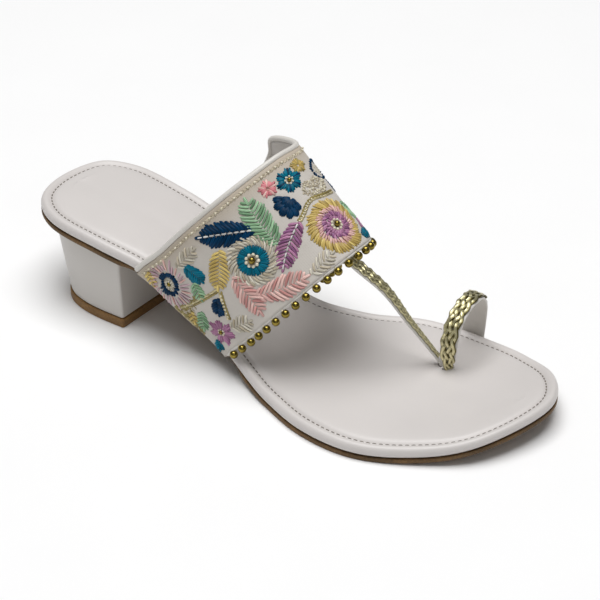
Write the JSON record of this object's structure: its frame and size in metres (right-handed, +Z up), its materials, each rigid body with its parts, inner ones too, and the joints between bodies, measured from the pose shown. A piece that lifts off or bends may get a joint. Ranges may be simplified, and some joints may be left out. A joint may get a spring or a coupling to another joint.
{
  "type": "block-heel toe-ring slide sandal",
  "caption": "Open slide sandal for the right foot on a low block heel, with a wide embroidered instep band, a braided big-toe ring and a narrow braided centre strap.",
  "frame": {"origin": "middle of the whole shoe's box, on the floor plane", "axes": "+X from heel to toe, +Y to the big-toe side, +Z up from the floor"},
  "size_m": [0.24, 0.1004, 0.0859],
  "materials": {
    "outsole_tan": "matte tan sheet",
    "top_lift_tan": "matte tan top lift",
    "heel_white": "smooth white leather wrap",
    "footbed_white": "smooth white padded leather",
    "band_fabric": "ivory woven cloth with thread embroidery",
    "piping_white": "smooth white rolled binding",
    "bead_gold": "polished dark gold beads",
    "strip_white": "smooth white leather strip",
    "braid_gold": "flat antique gold metallic braid"
  },
  "bodies": {
    "root": {"outsole": "outsole_tan", "heel_tip": "top_lift_tan", "heel_block": "heel_white", "footbed": "footbed_white", "vamp_strap": "band_fabric", "strap_piping": "piping_white", "bead_trim": "bead_gold", "toe_ring": "strip_white", "toe_ring_braid": "braid_gold", "centre_strap": "strip_white", "centre_strap_braid": "braid_gold"}
  },
  "joints": []
}
